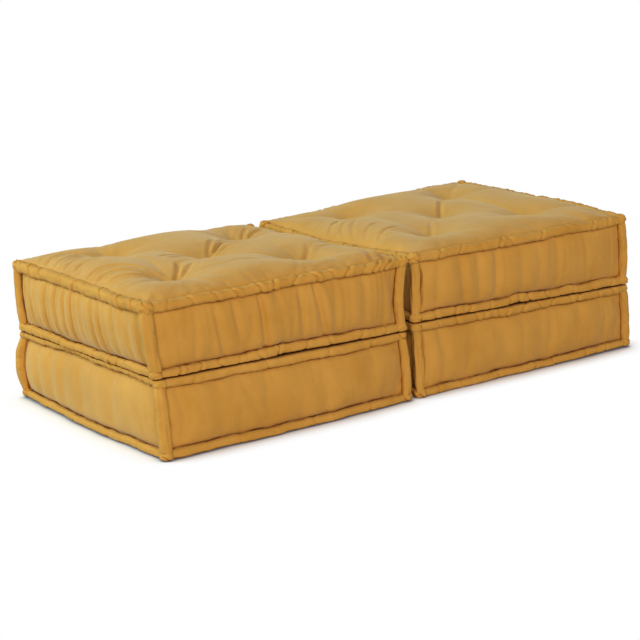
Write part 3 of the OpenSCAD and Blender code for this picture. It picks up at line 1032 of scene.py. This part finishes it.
def roll_shape(cushion, edge, level, radius):
    """One stuffed rolled edge with its stitched pinches and small puckers."""
    reach = half_length(edge) - ROLL_SHORT
    at = np.arange(-reach, reach + 0.1, ROLL_STEP)
    line = seam_point(cushion, edge, level, at)
    along = np.gradient(line, axis=0)
    along /= np.linalg.norm(along, axis=1)[:, None]
    up = square_to((0, 0, 1), along)
    out = square_to((0, outward(edge), 0) if edge in ("front", "back") else (outward(edge), 0, 0), along)
    angle = np.arange(ROLL_SIDES) * 2 * math.pi / ROLL_SIDES
    seed = CUSHIONS[cushion]["seed"] * 3 + level + len(edge)
    shown = 0.7 * level
    size = radius * (1 + 0.06 * wave(at, 55, seed))[:, None] + np.zeros((1, len(angle)))
    size += bumps(at, angle, 26, 1.6, seed) * 1.1 + bumps(at, angle, 8, 2.6, seed + 9) * 0.45
    ends = np.clip((reach + 4 - np.abs(at)) / ROLL_TAPER, 0, 1)
    size *= (0.82 + 0.18 * ends ** 0.7)[:, None]
    pucker = PUCKERS.get((cushion, edge, level), 0.25)
    drift = at / 3.3 + 2.4 * wave(at, 34, seed + 3)
    patch = np.clip(0.5 + wave(at, 46, seed + 8), 0, 1.3)
    size += (pucker * patch)[:, None] * np.sin(drift[:, None] + 2.2 * np.sin(angle - shown)[None, :])
    for place, deep, width, slant in sorted(pinches(cushion, edge, level)):
        spot = place + slant * np.sin(angle - shown)
        gap = np.abs(at[:, None] - spot[None, :])
        strength = 0.3 + 0.7 * (0.5 + 0.5 * np.cos(angle - shown))
        size -= 1.3 * deep * strength[None, :] * np.exp(-gap / (width * 0.42))
        size += 0.28 * deep * np.exp(-((gap - 2.4 * width) / (1.4 * width)) ** 2)
    square = np.abs(np.cos(angle)) ** ROLL_SQUARE + np.abs(np.sin(angle)) ** ROLL_SQUARE
    size *= square[None, :] ** (-1 / ROLL_SQUARE) * 0.97
    points, faces = tube(line, out, up * 0.96, size)
    return points, right_way(points, faces)


def knot_shape(cushion, corner, level, radius):
    """The stuffed knot where three rolled edges meet, with the folds that are wrapped round it."""
    side, depth = corner_ways(corner)
    random = np.random.default_rng(CUSHIONS[cushion]["seed"] * 7 + corner * 3 + level)
    full = FULL_KNOTS.get((cushion, level), NEAR_KNOT)
    radius = radius * (full if corner == 0 else random.uniform(0.88, 0.98))
    tall = 0.9 * radius
    twist = random.uniform(0.8, 1.8)
    start = random.uniform(0, 6)
    points = []
    for ring in range(1, KNOT_RINGS):
        slope = math.pi * ring / KNOT_RINGS - math.pi / 2
        for step in range(KNOT_SIDES):
            turn = 2 * math.pi * step / KNOT_SIDES
            fold = abs(math.sin(turn + twist * slope + start))
            size = 1.05 - 0.24 * math.exp(-(fold / 0.2) ** 2)
            fold = abs(math.sin(0.5 * turn - 1.3 * slope + 2 * start))
            size -= 0.14 * math.exp(-(fold / 0.12) ** 2)
            spot = Vector((math.cos(turn), math.sin(turn), math.sin(slope)))
            size += 0.16 * noise.noise(spot * 1.5 + Vector((start, corner, level)))
            flat = math.cos(slope) ** 0.7
            points.append((side * (LINE_X - 1) + radius * size * flat * math.cos(turn),
                           depth * (LINE_Y - 1) + radius * size * flat * math.sin(turn),
                           level * LINE_Z + tall * size * math.sin(slope)))
    for end in (-1, 1):
        points.append((side * LINE_X, depth * LINE_Y, level * LINE_Z + end * tall * 0.96))
    points = np.array(points, float)
    if rests(cushion, level):
        points[:, 2] += level * REST_SHIFT
    return points, ring_faces(KNOT_RINGS - 1, KNOT_SIDES)


def upright_shape(cushion, corner):
    """One upright rolled edge, drawn into long folds between its knots."""
    spec = CUSHIONS[cushion]
    side, depth = corner_ways(corner)
    at = np.arange(-LINE_Z + 4, LINE_Z - 3.9, UPRIGHT_STEP)
    line = upright_point(cushion, corner, at)
    out = np.tile(np.array((side, depth, 0.0)) / math.sqrt(2), (len(at), 1))
    up = np.tile(np.array((-depth, side, 0.0)) / math.sqrt(2), (len(at), 1))
    angle = np.arange(UPRIGHT_SIDES) * 2 * math.pi / UPRIGHT_SIDES
    radius = spec["upright"][corner]
    seed = spec["seed"] + corner * 5
    size = radius + bumps(at, angle, 34, 1.5, seed) * 2.0 + bumps(at, angle, 9, 2.4, seed + 4) * 0.5
    ends = np.clip((LINE_Z - np.abs(at)) / ROLL_TAPER, 0, 1)
    size *= (0.84 + 0.16 * ends ** 0.8)[:, None]
    drift = 0.3 * wave(at, 70, seed)
    for ridge, deep in ((-0.85, 2.6), (0.1, 3.6), (0.95, 2.4)):
        gap = np.abs((angle[None, :] - drift[:, None] - ridge + math.pi) % (2 * math.pi) - math.pi)
        fading = 0.6 + 0.4 * np.cos(at / 30 + ridge)
        size -= deep * (radius / 16) * np.exp(-(gap / 0.22) ** 1.3) * fading[:, None]
    random = np.random.default_rng(seed)
    for number in range(2):
        place = -30 + 56 * number + random.uniform(-14, 14)
        slant = random.uniform(-18, 18)
        side_on = 0.5 - 0.5 * np.cos(2 * angle)
        gap = np.abs(at[:, None] - place - slant * np.sin(angle + number)[None, :])
        size -= random.uniform(0.8, 2.2) * np.exp(-gap / 3.0) * side_on[None, :]
    points, faces = tube(line, out, up, size)
    return points, right_way(points, faces)


def finish_roll(cushion, node, shapes):
    """Join the shapes of a set of rolled edges into one piece that stands for its node."""
    points = []
    faces = []
    for more, sides in shapes:
        start = sum(len(p) for p in points)
        points.append(more)
        faces += [tuple(n + start for n in side) for side in sides]
    piece = new_mesh_object(node + "_sewn", warp(cushion, press(cushion, np.vstack(points))), faces)
    piece.data.materials.append(bpy.data.materials["Rolled cotton"])
    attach(piece, cushion)
    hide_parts(node)


def make_rolls():
    """Roll the edges round the top and bottom of every cushion, with their knots, and its uprights."""
    sizes = bpy.context.scene.sofa_sizes
    knot = sizes.knot_radius / MM
    for cushion in CUSHIONS:
        radius = sizes.roll_radius / MM * CUSHIONS[cushion]["band"]
        for level, name in ((1, "_top_rolls"), (-1, "_bottom_rolls")):
            shapes = []
            for edge in EDGES:
                full = FULL_ROLLS.get((cushion, edge, level), 1.0)
                shapes.append(roll_shape(cushion, edge, level, radius * full))
            shapes += [knot_shape(cushion, corner, level, knot) for corner in range(4)]
            finish_roll(cushion, cushion + name, shapes)
        finish_roll(cushion, cushion + "_corner_rolls",
                    [upright_shape(cushion, corner) for corner in range(4)])


def make_ties():
    """A crossed stitch of twine with its two knots in the pit of each tuft, top and bottom."""
    for cushion in CUSHIONS:
        stitches = []
        for x, y, deep in CUSHIONS[cushion]["tufts"]:
            for level in (1, -1):
                pit = np.array([(x, y, level * pit_height(cushion, level, deep))], float)
                spot = warp(cushion, pit)[0] * MM
                for turn in (0.6, -0.7):
                    bpy.ops.mesh.primitive_torus_add(
                        major_segments=28, minor_segments=8, major_radius=LOOP_RADIUS * MM,
                        minor_radius=TWINE_RADIUS * MM, location=spot, rotation=(math.pi / 2, 0, turn))
                    stitches.append(bpy.context.object)
        select_only(*stitches)
        bpy.ops.object.transform_apply(location=True, rotation=True, scale=True)
        bpy.ops.object.join()
        bpy.ops.object.shade_smooth()
        piece = bpy.context.object
        piece.name = cushion + "_tufting"
        piece.data.materials.append(bpy.data.materials["Waxed twine"])
        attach(piece, cushion)
        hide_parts(cushion + "_tuft_ties")


def make_hinges():
    """One strip of doubled cloth along the back of each unit, sewn to the rolls above and below."""
    for side, middle in (("left", -UNIT_X), ("right", UNIT_X)):
        lower = "lower_" + side
        upper = "upper_" + side
        across = np.linspace(-STRIP_HALF, STRIP_HALF, STRIP_COLUMNS)
        points = []
        for number, (y, z) in enumerate(STRIP_ROWS):
            pucker = wave(across, 22, 5 + number * 0.15) * 0.8
            points += [(middle + x, y + lean, z) for x, lean in zip(across, pucker)]
        faces = []
        for row in range(len(STRIP_ROWS) - 1):
            for step in range(STRIP_COLUMNS - 1):
                a = row * STRIP_COLUMNS + step
                faces.append((a, a + STRIP_COLUMNS, a + STRIP_COLUMNS + 1, a + 1))
        piece = new_mesh_object("hinge_strip_" + side, np.array(points), faces)
        select_only(piece)
        solid = piece.modifiers.new("Thickness", "SOLIDIFY")
        solid.thickness = STRIP_THICKNESS * MM
        solid.offset = 0
        bpy.ops.object.modifier_apply(modifier=solid.name)
        piece.data.materials.append(bpy.data.materials["Woven cotton"])
        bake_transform(piece)
        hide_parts(lower + "_hinge_band", upper + "_hinge_band")


def per_metre(size):
    """The scale of a pattern whose marks are of that size in millimetres."""
    return 1 / (size * MM)


def new_material(name):
    """An empty material made of nodes."""
    material = bpy.data.materials.new(name)
    material.use_nodes = True
    material.node_tree.nodes.clear()
    return material


def set_stops(ramp, stops):
    """Give a colour ramp its colours, each at its place."""
    elements = ramp.color_ramp.elements
    for number, end in ((0, stops[0]), (1, stops[-1])):
        elements[number].position = end[0]
        elements[number].color = end[1]
    for place, colour in stops[1:-1]:
        elements.new(place).color = colour


def painted_crease_shade(tree, place):
    """Painted shade where cloth meets cloth: ambient occlusion darkens the colour, in dashes along seams
    and folds and evenly in narrow gaps. It gives the eye the seams and the depth of the gaps."""
    near = add_node(tree, "ShaderNodeAmbientOcclusion", {"Distance": SEAM_REACH}, samples=8)
    uneven = add_node(tree, "ShaderNodeTexNoise",
                      {"Vector": place, "Scale": per_metre(PAINTED_SHADE_DASH), "Detail": 1.0})
    dash = add_node(tree, "ShaderNodeMapRange",
                    {"Value": uneven, "From Min": 0.42, "From Max": 0.58, "To Min": 0.37, "To Max": 0.87})
    seams = add_node(tree, "ShaderNodeMapRange", {
        "Value": near.outputs["AO"], "From Min": 0.15, "From Max": 0.68, "To Min": dash, "To Max": 1.0})
    deep = add_node(tree, "ShaderNodeAmbientOcclusion", {"Distance": GAP_REACH}, samples=8)
    gaps = add_node(tree, "ShaderNodeMapRange", {
        "Value": deep.outputs["AO"], "From Min": 0.1, "From Max": 0.34, "To Min": 0.24, "To Max": 1.0})
    return add_node(tree, "ShaderNodeMath", {0: seams, 1: gaps}, operation="MULTIPLY")


def cotton(name, thread, pucker, nap):
    """Plain woven cotton, dyed in the piece. It gives the eye a dull cloth with uneven dye, small
    slubs, a weave both ways that is drawn coarser than real thread so that it shows, low puckers, and
    a soft pale nap where the cloth is seen along its surface. Painted shade darkens and browns its colour
    and dulls its nap where cloth meets cloth."""
    colours = bpy.context.scene.sofa_colours
    tree = new_material(name).node_tree
    place = add_node(tree, "ShaderNodeTexCoord").outputs["Object"]
    dye = add_node(tree, "ShaderNodeTexNoise",
                   {"Vector": place, "Scale": per_metre(DYE_PATCH), "Detail": 3.0, "Roughness": 0.6})
    dyed = add_node(tree, "ShaderNodeValToRGB", {"Fac": dye})
    set_stops(dyed, ((0.3, linear(colours.cloth_deep)), (0.5, linear(colours.cloth)),
                     (0.72, linear(colours.cloth_pale))))
    slubs = add_node(tree, "ShaderNodeTexNoise",
                     {"Vector": place, "Scale": per_metre(SLUB), "Detail": 2.0})
    tone = add_node(tree, "ShaderNodeMapRange", {"Value": slubs, "To Min": 0.94, "To Max": 1.04})
    # Painted shade: the colour is darkened, and browned, where cloth meets cloth
    shade = painted_crease_shade(tree, place)
    warm = add_node(tree, "ShaderNodeCombineColor", {
        channel: add_node(tree, "ShaderNodeMath", {0: shade, 1: power}, operation="POWER")
        for channel, power in PAINTED_CREASE_WARMTH})
    colour = dyed.outputs[0]
    for factor in (tone, warm):
        mixed = add_node(tree, "ShaderNodeMix", {0: 1.0, 6: colour, 7: factor},
                         data_type="RGBA", blend_type="MULTIPLY")
        colour = mixed.outputs[2]
    parts = add_node(tree, "ShaderNodeSeparateXYZ", {"Vector": place})
    weave = 0.0
    for axis in ("X", "Y", "Z"):
        turns = add_node(tree, "ShaderNodeMath", {0: parts.outputs[axis], 1: math.pi / thread},
                         operation="MULTIPLY")
        threads = add_node(tree, "ShaderNodeMath", {0: turns}, operation="SINE")
        weave = add_node(tree, "ShaderNodeMath", {0: threads, 1: weave}, operation="ADD")
    soft = add_node(tree, "ShaderNodeTexNoise",
                    {"Vector": place, "Scale": per_metre(SOFT_PUCKER), "Detail": 3.0})
    puckers = add_node(tree, "ShaderNodeBump", {"Height": soft, "Strength": 0.25, "Distance": pucker})
    bump = add_node(tree, "ShaderNodeBump",
                    {"Height": weave, "Normal": puckers, "Strength": 0.12, "Distance": 0.25 * MM})
    # The nap is dulled in the painted shade of creases and gaps
    nap_dulled_by_painted_shade = add_node(tree, "ShaderNodeMath", {0: shade, 1: nap}, operation="MULTIPLY")
    shader = add_node(tree, "ShaderNodeBsdfPrincipled", {
        "Base Color": colour, "Normal": bump, "Roughness": 0.92, "Specular IOR Level": 0.2,
        "Sheen Weight": nap_dulled_by_painted_shade, "Sheen Tint": (1.0, 0.98, 0.74, 1), "Sheen Roughness": 0.5})
    add_node(tree, "ShaderNodeOutputMaterial", {"Surface": shader})


def waxed_twine():
    """Twisted cotton twine with a little wax. It gives the eye a dull cord with a fine diagonal lay."""
    tree = new_material("Waxed twine").node_tree
    place = add_node(tree, "ShaderNodeTexCoord").outputs["Object"]
    lay = add_node(tree, "ShaderNodeTexWave",
                   {"Vector": place, "Scale": per_metre(TWINE_LAY), "Distortion": 1.0})
    bump = add_node(tree, "ShaderNodeBump",
                    {"Height": lay.outputs["Fac"], "Strength": 0.4, "Distance": 0.3 * MM})
    shader = add_node(tree, "ShaderNodeBsdfPrincipled", {
        "Base Color": linear(bpy.context.scene.sofa_colours.twine), "Normal": bump, "Roughness": 0.7})
    add_node(tree, "ShaderNodeOutputMaterial", {"Surface": shader})


def seen_rays(tree):
    """1 for what the camera sees straight, in a mirror or through glass, and 0 for what only lights."""
    rays = add_node(tree, "ShaderNodeLightPath").outputs
    seen = add_node(tree, "ShaderNodeMath", {0: rays["Is Camera Ray"], 1: rays["Is Glossy Ray"]},
                    operation="MAXIMUM")
    return add_node(tree, "ShaderNodeMath", {0: seen, 1: rays["Is Transmission Ray"]},
                    operation="MAXIMUM")


def studio_floor():
    """Matt painted studio floor. It gives the eye a painted grey contact shadow, put into its colour from
    ambient occlusion within 3 cm of the sofa, that fades to plain white within 8 cm, and it throws a warm
    grey light back at the cloth."""
    material = new_material("Matt white floor")
    tree = material.node_tree
    # Painted contact shadow: the floor's colour goes grey where the sofa is near
    near = add_node(tree, "ShaderNodeAmbientOcclusion", {"Distance": CONTACT_REACH}, samples=16)
    shade = add_node(tree, "ShaderNodeValToRGB", {"Fac": near.outputs["AO"]})
    set_stops(shade, ((0.3, PAINTED_CONTACT_SHADE), (0.97, linear(bpy.context.scene.sofa_colours.floor))))
    white = add_node(tree, "ShaderNodeBsdfDiffuse", {"Color": shade})
    glow = add_node(tree, "ShaderNodeEmission", {"Color": shade, "Strength": 0.1})
    lit = add_node(tree, "ShaderNodeAddShader", {0: white, 1: glow})
    away = add_node(tree, "ShaderNodeAmbientOcclusion", {"Distance": SHADOW_REACH}, samples=16)
    fade = add_node(tree, "ShaderNodeMapRange",
                    {"Value": away.outputs["AO"], "From Min": 0.46, "From Max": 0.97},
                    interpolation_type="SMOOTHSTEP")
    plain = add_node(tree, "ShaderNodeEmission", {"Strength": 1.0})
    bright = add_node(tree, "ShaderNodeMixShader", {0: fade, 1: lit, 2: plain})
    grey = add_node(tree, "ShaderNodeBsdfDiffuse", {"Color": BOUNCE_GREY})
    both = add_node(tree, "ShaderNodeMixShader", {0: seen_rays(tree), 1: grey, 2: bright})
    add_node(tree, "ShaderNodeOutputMaterial", {"Surface": both})
    return material


def add_lamp(name, towards, spread, strength, colour):
    """A broad soft box that faces the sofa. towards points from the sofa to the light, in metres."""
    far = Vector(towards)
    data = bpy.data.lights.new(name, "AREA")
    data.shape = "DISK"
    data.size = 2 * far.length * math.tan(math.radians(spread / 2))
    data.energy = strength * math.pi * far.length_squared
    data.color = colour
    lamp = bpy.data.objects.new(name, data)
    lamp.location = far
    lamp.rotation_euler = far.to_track_quat("Z", "Y").to_euler()
    bpy.context.scene.collection.objects.link(lamp)


def add_camera():
    """The camera, where the photographer stood."""
    azimuth = math.radians(CAMERA_AZIMUTH)
    elevation = math.radians(CAMERA_ELEVATION)
    roll = math.radians(CAMERA_ROLL)
    ahead = Vector((-math.sin(azimuth) * math.cos(elevation), math.cos(azimuth) * math.cos(elevation),
                    -math.sin(elevation)))
    level = Vector((math.cos(azimuth), math.sin(azimuth), 0))
    above = level.cross(ahead)
    right = math.cos(roll) * level + math.sin(roll) * above
    top = -math.sin(roll) * level + math.cos(roll) * above
    turn = Matrix((right, top, -ahead)).transposed().to_4x4()
    turn.translation = Vector(CAMERA_PLACE)
    data = bpy.data.cameras.new("Camera")
    data.sensor_width = CAMERA_SENSOR
    data.lens = CAMERA_LENS
    data.clip_end = 100
    camera = bpy.data.objects.new("Camera", data)
    camera.matrix_world = turn
    bpy.context.scene.collection.objects.link(camera)
    bpy.context.scene.camera = camera


def make_stage():
    """Floor, camera, lamps and world."""
    scene = bpy.context.scene
    bpy.ops.mesh.primitive_grid_add(x_subdivisions=12, y_subdivisions=12, size=FLOOR_SIZE,
                                    location=(0, 0, -FLOOR_DOWN))
    floor = bpy.context.object
    floor.name = "studio_floor"
    select_only(floor)
    bpy.ops.object.transform_apply(location=True, rotation=True, scale=True)
    floor.data.materials.append(studio_floor())
    add_camera()
    for lamp in LAMPS:
        add_lamp(*lamp)
    world = bpy.data.worlds.new("Studio")
    scene.world = world
    world.use_nodes = True
    tree = world.node_tree
    tree.nodes.clear()
    dim = add_node(tree, "ShaderNodeBackground", {"Color": (1, 1, 1, 1), "Strength": AMBIENT})
    white = add_node(tree, "ShaderNodeBackground", {"Color": (1, 1, 1, 1), "Strength": 1.0})
    both = add_node(tree, "ShaderNodeMixShader", {0: seen_rays(tree), 1: dim, 2: white})
    add_node(tree, "ShaderNodeOutputWorld", {"Surface": both})
    scene.view_settings.view_transform = "Standard"


class SOFA_OT_stage(bpy.types.Operator):
    """Add the floor, the lamps and the camera"""
    bl_idname = "sofa.add_stage"
    bl_label = "Add the studio"

    def execute(self, context):
        make_stage()
        return {"FINISHED"}


class SOFA_OT_cloth(bpy.types.Operator):
    """Weave the cotton and lay the twine: the materials"""
    bl_idname = "sofa.weave_cloth"
    bl_label = "Weave the cloth"

    def execute(self, context):
        gap = context.scene.sofa_sizes.thread_gap
        cotton("Woven cotton", gap, pucker=0.004, nap=0.26)
        cotton("Rolled cotton", gap, pucker=0.006, nap=0.06)
        waxed_twine()
        return {"FINISHED"}


class SOFA_OT_covers(bpy.types.Operator):
    """Cut, sew and fill the four tufted covers"""
    bl_idname = "sofa.sew_covers"
    bl_label = "Sew the covers"

    def execute(self, context):
        make_covers()
        return {"FINISHED"}


class SOFA_OT_rolls(bpy.types.Operator):
    """Stuff and stitch the rolled edges and their corner knots"""
    bl_idname = "sofa.roll_edges"
    bl_label = "Roll the edges"

    def execute(self, context):
        make_rolls()
        return {"FINISHED"}


class SOFA_OT_ties(bpy.types.Operator):
    """Tie the tufting twines"""
    bl_idname = "sofa.tie_tufts"
    bl_label = "Tie the tufts"

    def execute(self, context):
        make_ties()
        return {"FINISHED"}


class SOFA_OT_hinges(bpy.types.Operator):
    """Sew the cloth hinge strips behind the folds"""
    bl_idname = "sofa.sew_hinges"
    bl_label = "Sew the hinge strips"

    def execute(self, context):
        make_hinges()
        return {"FINISHED"}


class SOFA_PT_panel(bpy.types.Panel):
    """Lists the steps that make the sofa"""
    bl_idname = "SOFA_PT_panel"
    bl_label = "Floor sofa"
    bl_space_type = "VIEW_3D"
    bl_region_type = "UI"
    bl_category = "Floor sofa"

    def draw(self, context):
        layout = self.layout
        for group in (context.scene.sofa_sizes, context.scene.sofa_colours):
            for name in group.bl_rna.properties.keys():
                if name not in ("rna_type", "name"):
                    layout.prop(group, name)
        for step in STEPS:
            layout.operator(step)


STEPS = ("sofa.add_stage", "sofa.weave_cloth", "sofa.sew_covers", "sofa.roll_edges", "sofa.tie_tufts",
         "sofa.sew_hinges")
CLASSES = (SofaSizes, SofaColours, SOFA_OT_stage, SOFA_OT_cloth, SOFA_OT_covers, SOFA_OT_rolls,
           SOFA_OT_ties, SOFA_OT_hinges, SOFA_PT_panel)


def register():
    """Register the groups, operators and panel, and hang the groups on the scene."""
    for item in CLASSES:
        bpy.utils.register_class(item)
    bpy.types.Scene.sofa_sizes = bpy.props.PointerProperty(type=SofaSizes)
    bpy.types.Scene.sofa_colours = bpy.props.PointerProperty(type=SofaColours)


def unregister():
    """Take the groups off the scene and unregister everything."""
    del bpy.types.Scene.sofa_sizes
    del bpy.types.Scene.sofa_colours
    for item in reversed(CLASSES):
        bpy.utils.unregister_class(item)


def main():
    """Make the whole sofa with its studio."""
    register()
    bpy.ops.sofa.add_stage()
    bpy.ops.sofa.weave_cloth()
    bpy.ops.sofa.sew_covers()
    bpy.ops.sofa.roll_edges()
    bpy.ops.sofa.tie_tufts()
    bpy.ops.sofa.sew_hinges()


if __name__ == "__main__":
    main()
